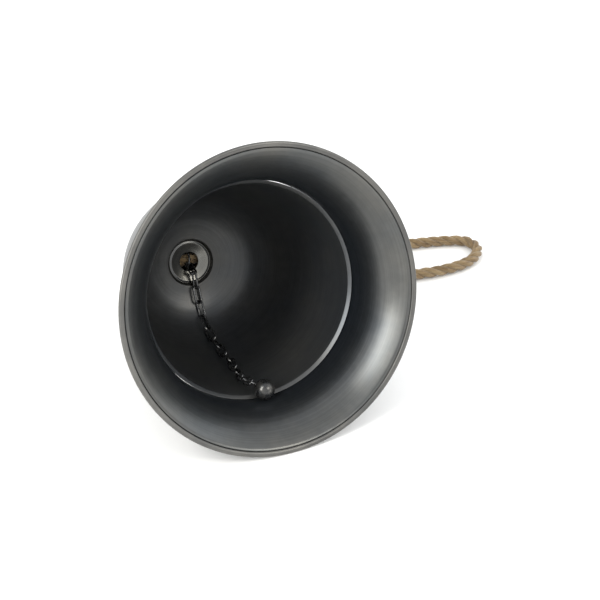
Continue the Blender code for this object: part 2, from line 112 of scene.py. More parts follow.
def profiles(flare_n, per):
    """The turned pieces' outlines as (station, radius), coarse for the lie of the bell and fine for its surfaces."""
    lip_r = MOUTH_R - RIM_WIDTH - GAP
    skirt_in = [(NECK_D * (1 - k / flare_n), NECK_R + (lip_r - SHEET * 0.55 - NECK_R) * (k / flare_n) ** FLARE_POWER)
                for k in range(flare_n + 1)]
    skirt_in[-1] = (0.6, skirt_in[-1][1])
    skirt_out = offset(skirt_in[::-1], SHEET)[::-1]
    skirt_out[-1] = (max(skirt_out[-1][0], 1.1), lip_r)
    skirt = ([(NECK_D + SLEEVE, NECK_R + SHEET)] + skirt_out + skirt_in[::-1] + [(NECK_D + SLEEVE, NECK_R)])
    side = smooth(DOME_INSIDE, per)
    crown_d = DOME_INSIDE[-1][0]
    stops = [0.25, 0.5, 0.75, 1.0] if per < 4 else [k / 10 for k in range(1, 11)]
    press = 0.55 if per > 3 else 0.0      # the finished surface dishes a little more softly than the solid does
    cup = [(crown_d + RIDGE_DEPTH + press + (CUP_DEPTH + 0.1 - RIDGE_DEPTH - press) * (1.15 * t - 0.15 * t * t),
            RIDGE_R + (CROWN_HOLE_R - RIDGE_R) * t) for t in [0.0] + stops]
    dome_in = side + [(crown_d + GROOVE_DEPTH + press * 0.8, GROOVE_R)] + cup
    floor = cup[-1][0]
    side_out = offset(side, DOME_WALL)
    crown_out = [(crown_d + GROOVE_DEPTH + DOME_WALL * 0.9, KNOB_BASE_R + 0.6),
                 (crown_d + CUP_DEPTH * 0.5 + DOME_WALL, CUP_R - 0.5),
                 (floor + DOME_WALL, CUP_R - 3.2), (floor + DOME_WALL, CROWN_HOLE_R)]
    front = DOME_INSIDE[0][0] - DOME_EDGE_BEVEL - 0.4
    side_out = [(front, DOME_INSIDE[0][1] + DOME_WALL - 0.1)] + [p for p in side_out if p[0] > front + 1.0]
    dome = (crown_out[::-1] + side_out[::-1]
            + [(front + 1.9, DOME_INSIDE[0][1] + 0.02)] + dome_in)
    rim = [(RIM_DEPTH, MOUTH_R - 1.3), (RIM_DEPTH * 0.75, MOUTH_R - 0.35), (RIM_DEPTH * 0.45, MOUTH_R),
           (RIM_DEPTH * 0.18, MOUTH_R - 0.2), (0.0, MOUTH_R - 0.75), (0.0, MOUTH_R - 1.95),
           (RIM_DEPTH * 0.15, MOUTH_R - 2.45), (RIM_DEPTH * 0.4, MOUTH_R - RIM_WIDTH), (RIM_DEPTH * 0.8, MOUTH_R - 2.3)]
    base = floor + DOME_WALL + GAP
    top = base + KNOB_HEIGHT
    knob = [(top, 0.0), (top - 0.5, 4.0), (top - 2.4, 7.8), (top - 5.2, 10.2), (top - 8.5, KNOB_R), (base + 4.4, KNOB_R),
            (base + 3.2, KNOB_R + 0.4), (base + 2.6, KNOB_BASE_R), (base + 0.6, KNOB_BASE_R), (base, KNOB_BASE_R - 0.6),
            (base, KNOB_CAVITY_R), (base + 11.0, KNOB_CAVITY_R), (base + 14.6, 5.4), (base + 16.2, 0.0)]
    return skirt, dome, rim, knob, side_out, floor


c_skirt, c_dome, c_rim, c_knob, c_side, cup_floor = profiles(11, 2)
low = max(c_rim, key=lambda p: p[1])
ALPHA = math.atan(min((low[1] - r) * FLAT / (d - low[0]) for d, r in c_side if d > 60))
HEIGHT = max(d * math.sin(ALPHA) + r * FLAT * math.cos(ALPHA) for d, r in c_rim + c_side + c_skirt + c_knob)
spans = [d * math.cos(ALPHA) + s * r * FLAT * math.sin(ALPHA) for d, r in c_rim + c_knob + c_side for s in (-1, 1)]
SHIFT = -(min(spans) + max(spans)) / 2
AXES = Matrix.Translation((0.0, SHIFT * MM, HEIGHT * MM)) @ Matrix.Rotation(-(math.pi / 2 + ALPHA), 4, 'X')
rope_d = cup_floor + DOME_WALL + ROPE_AXIS_ABOVE_CUP


def world(d, r, x=0.0):
    return AXES @ Vector((x * MM, r * MM, d * MM))


# ---------------------------------------------------------------- material helpers
class Nodes:
    """Builds a node material with short calls."""

    def __init__(self, name):
        self.mat = bpy.data.materials.new(name)
        self.mat.use_nodes = True
        self.tree = self.mat.node_tree
        self.bsdf = self.tree.nodes["Principled BSDF"]
        self.out = self.tree.nodes["Material Output"]

    def add(self, kind, **settings):
        node = self.tree.nodes.new(kind)
        for k, v in settings.items():
            setattr(node, k, v)
        return node

    def link(self, a, b):
        self.tree.links.new(a, b)

    def set(self, name, value):
        self.bsdf.inputs[name].default_value = value

    def math(self, op, a, b=None, clamp=False):
        node = self.add('ShaderNodeMath', operation=op, use_clamp=clamp)
        for i, v in enumerate((a, b)):
            if v is None:
                continue
            if isinstance(v, (int, float)):
                node.inputs[i].default_value = v
            else:
                self.link(v, node.inputs[i])
        return node.outputs[0]

    def noise(self, vector, scale, detail=3.0, rough=0.55, distortion=0.0):
        node = self.add('ShaderNodeTexNoise')
        node.inputs["Scale"].default_value = scale
        node.inputs["Detail"].default_value = detail
        node.inputs["Roughness"].default_value = rough
        node.inputs["Distortion"].default_value = distortion
        self.link(vector, node.inputs["Vector"])
        return node.outputs["Fac"]

    def ramp(self, fac, stops, interpolation='LINEAR'):
        node = self.add('ShaderNodeValToRGB')
        node.color_ramp.interpolation = interpolation
        els = node.color_ramp.elements
        while len(els) < len(stops):
            els.new(0.5)
        for e, (pos, colour) in zip(els, stops):
            e.position = pos
            e.color = (*colour, 1.0) if len(colour) == 3 else colour
        self.link(fac, node.inputs["Fac"])
        return node.outputs["Color"]

    def grey(self, fac, stops):
        return self.ramp(fac, [(p, (v, v, v)) for p, v in stops])

    def mix(self, fac, a, b, blend='MIX'):
        node = self.add('ShaderNodeMix', data_type='RGBA', blend_type=blend)
        for name, v in (("Factor", fac), ("A", a), ("B", b)):
            sock = next(s for s in node.inputs if s.name == name and s.enabled and (name == "Factor") == (s.type == 'VALUE'))
            if isinstance(v, (int, float)):
                sock.default_value = v
            elif isinstance(v, tuple):
                sock.default_value = (*v, 1.0)
            else:
                self.link(v, sock)
        return next(s for s in node.outputs if s.enabled and s.type == 'RGBA')

    def bump(self, height, strength, distance, normal=None):
        node = self.add('ShaderNodeBump')
        node.inputs["Strength"].default_value = strength
        node.inputs["Distance"].default_value = distance
        self.link(height, node.inputs["Height"])
        if normal is not None:
            self.link(normal, node.inputs["Normal"])
        return node.outputs["Normal"]


def object_coords(m):
    return m.add('ShaderNodeTexCoord').outputs["Object"]


def bell_coords(m):
    return m.add('ShaderNodeAttribute', attribute_name="turned").outputs["Vector"]


def scaled(m, vector, factors):
    node = m.add('ShaderNodeVectorMath', operation='MULTIPLY')
    m.link(vector, node.inputs[0])
    node.inputs[1].default_value = factors
    return node.outputs[0]


def turned_coords(m, around, along):
    """Coordinates that are stretched round the bell's axis, for the marks of spinning: no seam, because the angle
    enters as a unit vector. Returns (streak vector, station d in metres, the unit vector round the axis split into X, Y
    and Z)."""
    co = bell_coords(m)
    sep = m.add('ShaderNodeSeparateXYZ')
    m.link(co, sep.inputs[0])
    flatv = m.add('ShaderNodeCombineXYZ')
    m.link(sep.outputs[0], flatv.inputs[0])
    m.link(sep.outputs[1], flatv.inputs[1])
    size = m.add('ShaderNodeVectorMath', operation='LENGTH')
    m.link(flatv.outputs[0], size.inputs[0])
    unit = m.add('ShaderNodeVectorMath', operation='NORMALIZE')
    m.link(flatv.outputs[0], unit.inputs[0])
    usep = m.add('ShaderNodeSeparateXYZ')
    m.link(unit.outputs[0], usep.inputs[0])
    run = m.math('SUBTRACT', size.outputs["Value"], sep.outputs[2])
    comb = m.add('ShaderNodeCombineXYZ')
    m.link(m.math('MULTIPLY', usep.outputs[0], around), comb.inputs[0])
    m.link(m.math('MULTIPLY', usep.outputs[1], around), comb.inputs[1])
    m.link(m.math('MULTIPLY', run, along), comb.inputs[2])
    return comb.outputs[0], sep.outputs[2], usep


def spun_metal(name, dark, light, painted_light_stops=None, rough=(0.30, 0.46), streak=0.5, bump=0.10, aniso=0.25, specks=True,
               metallic=0.55, cup=False):
    """Spun sheet with a black patina: warm and cool blotches, streaks round the axis, fine grooves and a few pin
    pricks. On the inner surfaces a tint by station paints light and shade into the colour.
    """
    m = Nodes(name)
    streaks, d, unit = turned_coords(m, 0.6, 900.0)
    fine, _, _ = turned_coords(m, 2.2, 3400.0)
    co = bell_coords(m)
    blotch = m.noise(co, 22.0, 4.0, 0.6)
    small = m.noise(co, 160.0, 3.0, 0.6)
    lines = m.noise(streaks, 1.0, 4.0, 0.65)
    hair = m.noise(fine, 1.0, 2.0, 0.5)
    body = m.ramp(blotch, [(0.30, dark), (0.72, light)])
    # painted light and shade: the inner surfaces' colour is scaled by a ramp along the station d
    if painted_light_stops:
        painted_light_by_station = m.ramp(m.math('MULTIPLY', d, 1.0 / 0.15), painted_light_stops)
        inner = m.add('ShaderNodeAttribute', attribute_name="inner").outputs["Fac"]
        body = m.mix(inner, body, painted_light_by_station, 'MULTIPLY')
    body = m.mix(streak * 0.5, body, m.grey(lines, [(0.32, 0.55), (0.70, 1.45)]), 'MULTIPLY')
    body = m.mix(0.22, body, m.grey(small, [(0.35, 0.75), (0.68, 1.2)]), 'MULTIPLY')
    m.link(body, m.bsdf.inputs["Base Color"])
    m.set("Metallic", metallic)
    lo, hi = rough
    if cup:      # the cup's floor: a painted highlight, lighter in colour from the station ramp and also more metallic and smoother
        cup_highlight = m.grey(m.math('MULTIPLY', d, 1.0 / 0.15), [(0.960, 0.0), (0.970, 1.0)])
        m.link(m.math('ADD', m.math('MULTIPLY', cup_highlight, 0.97 - metallic), metallic), m.bsdf.inputs["Metallic"])
    rgh = m.math('ADD', m.math('MULTIPLY', lines, (hi - lo) * 0.6), m.math('MULTIPLY', small, (hi - lo) * 0.4))
    rgh = m.math('ADD', rgh, lo)
    if cup:
        rgh = m.math('SUBTRACT', rgh, m.math('MULTIPLY', cup_highlight, 0.12))
    m.link(rgh, m.bsdf.inputs["Roughness"])
    m.set("Anisotropic", aniso)
    # the tangent runs round the bell: (-y, x) of the unit vector, carried into the scene's axes
    tan = m.add('ShaderNodeCombineXYZ')
    m.link(m.math('MULTIPLY', unit.outputs[1], -1.0), tan.inputs[0])
    m.link(m.math('MULTIPLY', unit.outputs[0], AXES[1][1]), tan.inputs[1])
    m.link(m.math('MULTIPLY', unit.outputs[0], AXES[2][1]), tan.inputs[2])
    m.link(tan.outputs[0], m.bsdf.inputs["Tangent"])
    height = m.math('ADD', m.math('MULTIPLY', hair, 0.6), m.math('MULTIPLY', lines, 0.8))
    normal = m.bump(height, bump, 0.0002)
    normal = m.bump(m.noise(co, 55.0, 2.0, 0.5), 0.10, 0.0008, normal)
    if specks:
        vor = m.add('ShaderNodeTexVoronoi', feature='F1')
        vor.inputs["Scale"].default_value = 130.0
        m.link(co, vor.inputs["Vector"])
        pits = m.grey(vor.outputs["Distance"], [(0.03, 0.0), (0.10, 1.0)])
        normal = m.bump(pits, 0.12, 0.0002, normal)
    m.link(normal, m.bsdf.inputs["Normal"])
    return m


# painted light inside the skirt: lighter towards the mouth as a painted reflection, darker and bluer towards the neck
# as painted shade
SKIRT_METAL = spun_metal("skirt_black_metal", (0.068, 0.073, 0.078), (0.099, 0.098, 0.094),
                         [(0.0, (1.30, 1.28, 1.22)), (0.018, (1.15, 1.13, 1.09)), (0.034, (1.00, 1.00, 0.98)),
                          (0.10, (0.90, 0.93, 0.97)), (0.17, (0.66, 0.74, 0.86)), (0.26, (0.50, 0.60, 0.76))],
                         rough=(0.24, 0.37), streak=0.55, aniso=0.30, metallic=0.84).mat
# painted light inside the dome: darker just before the crown's groove as painted shade, much lighter on the cup's floor
# as a painted highlight
DOME_METAL = spun_metal("dome_black_metal", (0.073, 0.078, 0.085), (0.104, 0.102, 0.096),
                        [(0.0, (0.95, 0.97, 1.0)), (0.90, (0.92, 0.93, 0.95)), (0.958, (0.72, 0.71, 0.69)),
                         (0.968, (1.7, 1.65, 1.52)), (1.0, (1.9, 1.85, 1.7))], rough=(0.29, 0.44),
                        metallic=0.70, cup=True).mat
KNOB_METAL = spun_metal("knob_black_metal", (0.062, 0.064, 0.066), (0.098, 0.094, 0.086), None, rough=(0.34, 0.5)).mat
RIM_METAL = spun_metal("rim_worn_metal", (0.085, 0.085, 0.084), (0.165, 0.160, 0.148), None, rough=(0.30, 0.44),
                       streak=0.8, bump=0.15, specks=False, metallic=0.7).mat


def wire_material(name, dark, light, rough):
    m = Nodes(name)
    co = object_coords(m)
    worn = m.noise(co, 520.0, 4.0, 0.62)
    m.link(m.ramp(worn, [(0.35, dark), (0.55, dark), (0.70, light)]), m.bsdf.inputs["Base Color"])
    m.set("Metallic", 0.95)
    m.link(m.math('ADD', m.math('MULTIPLY', worn, 0.22), rough), m.bsdf.inputs["Roughness"])
    m.link(m.bump(m.noise(co, 1800.0, 2.0, 0.5), 0.18, 0.00008), m.bsdf.inputs["Normal"])
    return m.mat


CHAIN_WIRE = wire_material("chain_black_wire", (0.135, 0.137, 0.140), (0.42, 0.41, 0.38), 0.17)

m = Nodes("ball_black_enamel")
co = object_coords(m)
ball_noise = m.noise(co, 240.0, 3.0, 0.55)
m.link(m.ramp(ball_noise, [(0.35, (0.030, 0.031, 0.033)), (0.62, (0.075, 0.073, 0.069)), (0.74, (0.20, 0.19, 0.175))]),
       m.bsdf.inputs["Base Color"])
m.set("Metallic", 0.75)
m.link(m.math('ADD', m.math('MULTIPLY', ball_noise, 0.30), 0.14), m.bsdf.inputs["Roughness"])
m.set("Coat Weight", 0.35)
m.set("Coat Roughness", 0.14)
m.link(m.bump(m.noise(co, 420.0, 2.0, 0.5), 0.35, 0.0004), m.bsdf.inputs["Normal"])
BALL_ENAMEL = m.mat


def jute_material(name, tones, fibre_scale=1.0):
    """Natural fibre: tones vary along and between strands, with fine fibres that run along the strand. The mesh carries
    "fibre", whose X and Y go round the strand and Z along it, in millimetres, and "tone", one value a strand."""
    m = Nodes(name)
    fib = m.add('ShaderNodeAttribute', attribute_name="fibre").outputs["Vector"]
    tone = m.add('ShaderNodeAttribute', attribute_name="tone").outputs["Fac"]
    fine = m.noise(scaled(m, fib, (2.6 * fibre_scale, 2.6 * fibre_scale, 0.22)), 1.0, 4.0, 0.65, 0.4)
    broad = m.noise(scaled(m, fib, (0.35, 0.35, 0.10)), 1.0, 3.0, 0.6)
    fleck = m.noise(scaled(m, fib, (5.0, 5.0, 0.6)), 1.0, 2.0, 0.5)
    mixv = m.math('ADD', m.math('MULTIPLY', fine, 0.55), m.math('MULTIPLY', broad, 0.45))
    mixv = m.math('ADD', mixv, m.math('MULTIPLY', m.math('SUBTRACT', tone, 0.5), 0.22))
    colour = m.ramp(mixv, [(0.28, tones[0]), (0.43, tones[1]), (0.58, tones[2]), (0.74, tones[3])])
    colour = m.mix(0.5, colour, m.grey(fleck, [(0.30, 0.55), (0.50, 1.0), (0.75, 1.25)]), 'MULTIPLY')
    m.link(colour, m.bsdf.inputs["Base Color"])
    m.set("Roughness", 0.88)
    m.set("Sheen Weight", 0.25)
    m.set("Sheen Roughness", 0.5)
    m.set("Specular IOR Level", 0.25)
    normal = m.bump(fine, 0.85, 0.0004)
    normal = m.bump(fleck, 0.5, 0.00015, normal)
    m.link(normal, m.bsdf.inputs["Normal"])
    return m.mat


JUTE = jute_material("jute_rope", [(0.083, 0.050, 0.023), (0.180, 0.119, 0.059), (0.281, 0.202, 0.108), (0.389, 0.306, 0.187)])
TWINE = jute_material("jute_twine", [(0.094, 0.061, 0.029), (0.194, 0.133, 0.068), (0.295, 0.216, 0.119), (0.403, 0.324, 0.202)], 1.6)
m = Nodes("jute_hairs")
tone = m.add('ShaderNodeAttribute', attribute_name="tone").outputs["Fac"]
m.link(m.ramp(tone, [(0.0, (0.19, 0.13, 0.07)), (0.5, (0.30, 0.23, 0.13)), (1.0, (0.45, 0.37, 0.25))]), m.bsdf.inputs["Base Color"])
m.set("Roughness", 0.8)
HAIRS = m.mat


# ---------------------------------------------------------------- mesh helpers
def new_object(name, mesh, mat, body, slot, *nodes):
    obj = bpy.data.objects.new(name, mesh)
    scene.collection.objects.link(obj)
    mesh.materials.clear()
    mesh.materials.append(mat)
    return obj


def settle(obj, body, slot, *nodes):
    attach(obj, body)
    if nodes:
        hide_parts(*nodes)
    return obj


def rounded(profile, closed, radius=0.35, sharp=24.0):
    """Rounds a profile's sharp corners with a small fillet and turns its gentle bends into one smooth curve."""
    n = len(profile)
    out = []
    for i in range(n):
        if not closed and i in (0, n - 1):
            out.append(profile[i])
            continue
        a, b, c = Vector(profile[i - 1]), Vector(profile[i]), Vector(profile[(i + 1) % n])
        u, v = (b - a), (c - b)
        turn = math.degrees(u.angle(v)) if u.length > 1e-9 and v.length > 1e-9 else 0.0
        if turn < 6.0:
            out.append(tuple(b))
            continue
        cut = radius if turn > sharp else 1e9
        cu, cv = min(cut, u.length * 0.5), min(cut, v.length * 0.5)
        p, q = b - u.normalized() * cu, b + v.normalized() * cv
        steps = 5 if turn > sharp else 3
        for k in range(steps + 1):
            t = k / steps
            out.append(tuple(p * (1 - t) ** 2 + b * 2 * t * (1 - t) + q * t * t))
    clean = [out[0]]
    for p in out[1:]:
        if math.dist(p, clean[-1]) > 0.02:
            clean.append(p)
    return clean


def mark_turned(mesh):
    """Keeps each point's place in the bell's own axes on the mesh, for the spinning marks and the painted light by
    station.
    """
    back = AXES.inverted()
    att = mesh.attributes.get("turned") or mesh.attributes.new("turned", 'FLOAT_VECTOR', 'POINT')
    local = [back @ v.co for v in mesh.vertices]
    att.data.foreach_set("vector", [c for v in local for c in v])
    # 1 on the inner surfaces, which look towards the bell's axis, and 0 on the outer ones; only the inner ones get the
    # painted light by station
    mesh.update()
    spin = AXES.to_3x3()
    inner = [1.0 if (spin @ Vector((q.x, q.y, 0.0))).dot(v.normal) < 0 else 0.0 for q, v in zip(local, mesh.vertices)]
    att = mesh.attributes.get("inner") or mesh.attributes.new("inner", 'FLOAT', 'POINT')
    att.data.foreach_set("value", inner)


def lathe(name, profile, mat, closed=True, segments=180, scale=1.0):
    """A closed turned mesh in the bell's own axes. Profiles run down the outer side first."""
    prof = np.array(profile)
    n = len(prof)
    ang = np.arange(segments) * 2 * math.pi / segments
    R, D = prof[:, 1] * FLAT * scale, prof[:, 0]
    verts, faces, rows = [], [], []
    for i in range(n):
        if R[i] < 1e-6:
            rows.append([len(verts)])
            verts.append((0.0, 0.0, D[i] * MM))
        else:
            first = len(verts)
            verts.extend(zip(R[i] * np.cos(ang) * MM, R[i] * np.sin(ang) * MM, np.full(segments, D[i] * MM)))
            rows.append(list(range(first, first + segments)))
    for i in range(n if closed else n - 1):
        a, b = rows[i], rows[(i + 1) % n]
        for k in range(segments):
            k2 = (k + 1) % segments
            if len(a) == 1:
                faces.append((a[0], b[k], b[k2]))
            elif len(b) == 1:
                faces.append((a[k], b[0], a[k2]))
            else:
                faces.append((a[k], b[k], b[k2], a[k2]))
    mesh = bpy.data.meshes.new(name)
    mesh.from_pydata([tuple(map(float, v)) for v in verts], [], faces)
    bm = bmesh.new()
    bm.from_mesh(mesh)
    bmesh.ops.recalc_face_normals(bm, faces=bm.faces)
    bm.to_mesh(mesh)
    bm.free()
    mesh.transform(AXES)
    mark_turned(mesh)
    mesh.shade_smooth()
    return new_object(name, mesh, mat, None, None)


def tube_mesh(name, pts, radius, sides=14, cyclic=False, swell=None):
    """A round wire along points, in metres, with parallel-transported rings."""
    P = np.array([tuple(p) for p in pts], float)
    n = len(P)
    if cyclic:
        T = np.roll(P, -1, 0) - np.roll(P, 1, 0)
    else:
        T = np.gradient(P, axis=0)
    T /= np.linalg.norm(T, axis=1)[:, None]
    N = transport(P, T)
    B = np.cross(T, N)
    if cyclic:      # close the twist
        gap = math.atan2(np.dot(N[0], B[-1]), np.dot(N[0], N[-1]))
        turn = np.arange(n) / n * gap
        N, B = N * np.cos(turn)[:, None] + B * np.sin(turn)[:, None], B * np.cos(turn)[:, None] - N * np.sin(turn)[:, None]
    rad = np.full(n, radius) if swell is None else radius * np.array(swell)
    ang = np.arange(sides) * 2 * math.pi / sides
    V = P[:, None] + rad[:, None, None] * (np.cos(ang)[None, :, None] * N[:, None] + np.sin(ang)[None, :, None] * B[:, None])
    faces = []
    for i in range(n if cyclic else n - 1):
        for k in range(sides):
            a, b = i * sides, ((i + 1) % n) * sides
            faces.append((a + k, a + (k + 1) % sides, b + (k + 1) % sides, b + k))
    if not cyclic:
        faces.append(tuple(range(sides))[::-1])
        faces.append(tuple((n - 1) * sides + k for k in range(sides)))
    mesh = bpy.data.meshes.new(name)
    mesh.from_pydata([tuple(map(float, v)) for v in V.reshape(-1, 3)], [], faces)
    mesh.shade_smooth()
    return mesh


def transport(P, T):
    """Normals along a path that never twist."""
    n = len(P)
    N = np.zeros_like(P)
    ref = np.array([0.0, 0.0, 1.0]) if abs(T[0][2]) < 0.9 else np.array([1.0, 0.0, 0.0])
    N[0] = np.cross(T[0], ref)
    N[0] /= np.linalg.norm(N[0])
    for i in range(1, n):
        v = N[i - 1] - T[i] * np.dot(N[i - 1], T[i])
        N[i] = v / np.linalg.norm(v)
    return N


# ---------------------------------------------------------------- the bell's turned pieces
fine_skirt, fine_dome, fine_rim, fine_knob, _, _ = profiles(36, 6)
# the rolled rim laps over the skirt's edge, so that no light comes through between them
fine_rim[6:] = [(0.30, 87.15), (0.95, 86.62), (1.75, 86.75), (2.6, 87.55)]
skirt = lathe("flared_skirt_spun", rounded(fine_skirt, True, 0.3), SKIRT_METAL, segments=220)
settle(skirt, "bell", "blackened_metal", "flared_skirt")
dome = lathe("dome_shell_spun", rounded(fine_dome, True, 0.22), DOME_METAL, segments=200, scale=0.9992)
settle(dome, "bell", "blackened_metal", "dome_shell")
rim = lathe("rim_ring_rolled", rounded(fine_rim, True, 0.5, 60.0), RIM_METAL, segments=240)
settle(rim, "bell", "blackened_rim", "rim_ring")

knob = lathe("crown_knob_turned", rounded(fine_knob, False, 0.6, 50.0), KNOB_METAL, closed=False, segments=96)
bpy.ops.mesh.primitive_cylinder_add(vertices=64, radius=ROPE_HOLE_R * FLAT * MM, depth=KNOB_BASE_R * 3 * MM)
bore = bpy.context.object
bore.matrix_world = Matrix.Translation(world(rope_d, 0.0)) @ Matrix.Rotation(math.pi / 2, 4, 'Y')
cut = knob.modifiers.new("bore", 'BOOLEAN')
cut.operation, cut.solver, cut.object = 'DIFFERENCE', 'EXACT', bore
bpy.context.view_layer.update()
drilled = bpy.data.meshes.new_from_object(knob.evaluated_get(bpy.context.evaluated_depsgraph_get()))
knob.modifiers.clear()
knob.data = drilled
mark_turned(drilled)
knob.data.materials.clear()
knob.data.materials.append(KNOB_METAL)
knob.data.shade_smooth()
knob.data.set_sharp_from_angle(angle=math.radians(38))
bpy.data.objects.remove(bore, do_unlink=True)
settle(knob, "bell", "blackened_metal", "crown_knob")


# ---------------------------------------------------------------- ring, links, clapper: each takes its place from its CAD solid
def axes_of(node):
    """(centre, axes from longest to shortest) of a wire piece, in metres."""
    co = np.array([v.co[:] for v in frame["nodes"][node].data.vertices])
    centre = (co.max(0) + co.min(0)) / 2
    centre = co.mean(0)
    w, v = np.linalg.eigh(np.cov((co - centre).T))
    return centre, v[:, ::-1].T, co


def oval_points(centre, long, wide, half, radius, arc=16, straight=4):
    pts = []
    for end in (1, -1):
        for k in range(arc + 1):
            t = math.pi * k / arc
            pts.append(centre + wide * (end * radius * math.cos(t)) + long * (end * (half + radius * math.sin(t))))
        nxt = -end
        a, b = pts[-1], centre + wide * (nxt * radius) + long * (nxt * half)
        for k in range(1, straight):
            pts.append(a + (b - a) * k / straight)
    return pts


links = sorted(n for n in frame["nodes"] if n.startswith("link_"))
for i, node in enumerate(links):
    centre, (long, wide, thin), co = axes_of(node)
    span = np.ptp((co - centre) @ long)
    half = (span - WIRE * MM) / 2 - LINK_W / 2 * MM
    pts = oval_points(centre, long, wide, half, LINK_W / 2 * MM)
    seam = len(pts) * 3 // 4 + 1      # the welded butt joint, on one long side
    swell = [1.0 + 0.10 * math.exp(-((k - seam) / 0.9) ** 2) for k in range(len(pts))]
    mesh = tube_mesh(node + "_wire", pts, WIRE / 2 * MM * 0.99, 14, True, swell)
    obj = new_object(node + "_wire", mesh, CHAIN_WIRE, None, None)
    settle(obj, "chain_" + node[-2:], "chain_black", node)

centre, (ra, rb, rc), co = axes_of("hanger_ring")
ring_pts = [centre + (ra * math.cos(t) + rb * math.sin(t)) * (RING_INNER_R + WIRE / 2) * MM
            for t in np.linspace(0, 2 * math.pi, 72, endpoint=False)]
swell = [1.0 + 0.10 * math.exp(-((k - 9) / 0.9) ** 2) for k in range(72)]
obj = new_object("hanger_ring_wire", tube_mesh("hanger_ring_wire", ring_pts, WIRE / 2 * MM * 0.99, 14, True, swell),
                 CHAIN_WIRE, None, None)
settle(obj, "ring", "chain_black", "hanger_ring")

# clapper: the eye's ring lies in one plane; its shank points at the ball
ball_lo, ball_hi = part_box("clapper_ball")
ball_at = (Vector(ball_lo) + Vector(ball_hi)) / 2
eye_co = np.array([v.co[:] for v in frame["nodes"]["clapper_eye"].data.vertices])
far = eye_co[np.argsort(-np.linalg.norm(eye_co - np.array(ball_at), axis=1))[:10]].mean(0)
shank_dir = Vector(far) - ball_at
top = max(float((Vector(v) - ball_at).dot(shank_dir.normalized())) for v in eye_co)
shank_dir.normalize()
eye_at = ball_at + shank_dir * (top - (EYE_R + WIRE / 2) * MM)
ring_part = np.array([v for v in eye_co if (Vector(v) - ball_at).dot(shank_dir) > top - 2 * EYE_R * MM])
w, v = np.linalg.eigh(np.cov((ring_part - ring_part.mean(0)).T))
thin = Vector(v[:, 0])
thin = (thin - shank_dir * thin.dot(shank_dir)).normalized()
side = thin.cross(shank_dir).normalized()
eye_pts = [np.array(eye_at + (side * math.cos(t) + shank_dir * math.sin(t)) * EYE_R * MM)
           for t in np.linspace(0, 2 * math.pi, 56, endpoint=False)]
eye_mesh = tube_mesh("clapper_eye_wire", eye_pts, WIRE / 2 * MM * 0.99, 14, True)
shank_top = eye_at - shank_dir * EYE_R * MM
shank_foot = ball_at + shank_dir * (BALL_R - 3.0) * MM
steps = 12
shank_pts = [np.array(shank_foot + (shank_top - shank_foot) * k / steps) for k in range(steps + 1)]
shank_mesh = tube_mesh("shank", shank_pts, SHANK_R * MM * 0.98, 16, False,
                       [1.0 if k < steps - 3 else 1.0 - 0.1 * (k - steps + 3) for k in range(steps + 1)])
bm = bmesh.new()
bm.from_mesh(eye_mesh)
bm.from_mesh(shank_mesh)
bm.to_mesh(eye_mesh)
bm.free()
eye_mesh.shade_smooth()
obj = new_object("clapper_eye_wire", eye_mesh, CHAIN_WIRE, None, None)
settle(obj, "clapper", "chain_black", "clapper_eye")

# the ball: turned from a profile about its shank, with the small flat and hole where the eye goes in and a faint parting line
prof = []
hole = (SHANK_R + GAP) * 0.98
start = math.acos(0.0)
lat = np.linspace(math.asin(-1.0), math.acos(hole / BALL_R), 56)
for t in lat:
    rr = BALL_R * 0.998
    band = 0.05 * math.exp(-(t / 0.045) ** 2)
    prof.append((rr * math.sin(t) - 0.0, max(rr * math.cos(t) - band, 0.0)))
prof[0] = (prof[0][0], 0.0)
prof += [(prof[-1][0] - 0.15, hole - 0.12), (BALL_R - 3.4, hole - 0.12), (BALL_R - 3.4, 0.0)]
verts, rows, faces = [], [], []
SEG = 72
for d, r in prof:
    if r < 1e-6:
        rows.append([len(verts)])
        verts.append(Vector((0, 0, d)))
    else:
        rows.append(list(range(len(verts), len(verts) + SEG)))
        verts += [Vector((r * math.cos(2 * math.pi * k / SEG), r * math.sin(2 * math.pi * k / SEG), d)) for k in range(SEG)]
for a, b in zip(rows, rows[1:]):
    for k in range(SEG):
        k2 = (k + 1) % SEG
        if len(a) == 1:
            faces.append((a[0], b[k2], b[k]))
        elif len(b) == 1:
            faces.append((a[k], a[k2], b[0]))
        else:
            faces.append((a[k], a[k2], b[k2], b[k]))
ball_axes = Matrix((side, thin, shank_dir)).transposed()
if ball_axes.determinant() < 0:
    ball_axes = Matrix((thin, side, shank_dir)).transposed()
mesh = bpy.data.meshes.new("clapper_ball_enamelled")
mesh.from_pydata([tuple(ball_axes @ v * MM) for v in verts], [], faces)
bm = bmesh.new()
bm.from_mesh(mesh)
bmesh.ops.recalc_face_normals(bm, faces=bm.faces)
bm.to_mesh(mesh)
bm.free()
mesh.shade_smooth()
mesh.set_sharp_from_angle(angle=math.radians(50))
ball = new_object("clapper_ball_enamelled", mesh, BALL_ENAMEL, None, None)
ball.location = ball_at
settle(ball, "clapper", "ball_black", "clapper_ball")

